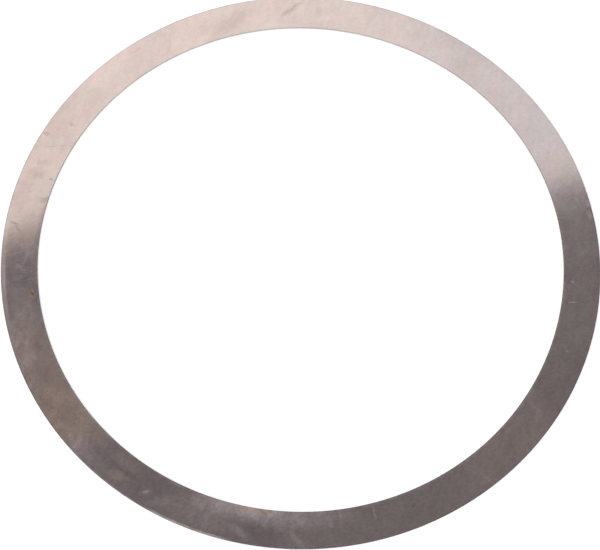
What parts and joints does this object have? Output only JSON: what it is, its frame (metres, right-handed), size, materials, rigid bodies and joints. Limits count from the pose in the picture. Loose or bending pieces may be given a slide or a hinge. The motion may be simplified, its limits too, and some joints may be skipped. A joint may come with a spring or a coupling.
{
  "type": "shim ring",
  "caption": "Thin flat steel ring that fills an axial gap between two seats, guided at its rim or its bore.",
  "frame": {"origin": "centre of the bore, in the plane of the underside", "axes": "+Z along the ring's axis, out of the upper face, whose edges are rolled over; X and Y lie in the underside"},
  "size_m": [0.1595, 0.1594, 0.0005],
  "materials": {
    "steel": "bright cold-rolled strip, with fine scuffs, oil smears and a few small stains"
  },
  "bodies": {
    "root": {"shim_ring": "steel"}
  },
  "joints": []
}
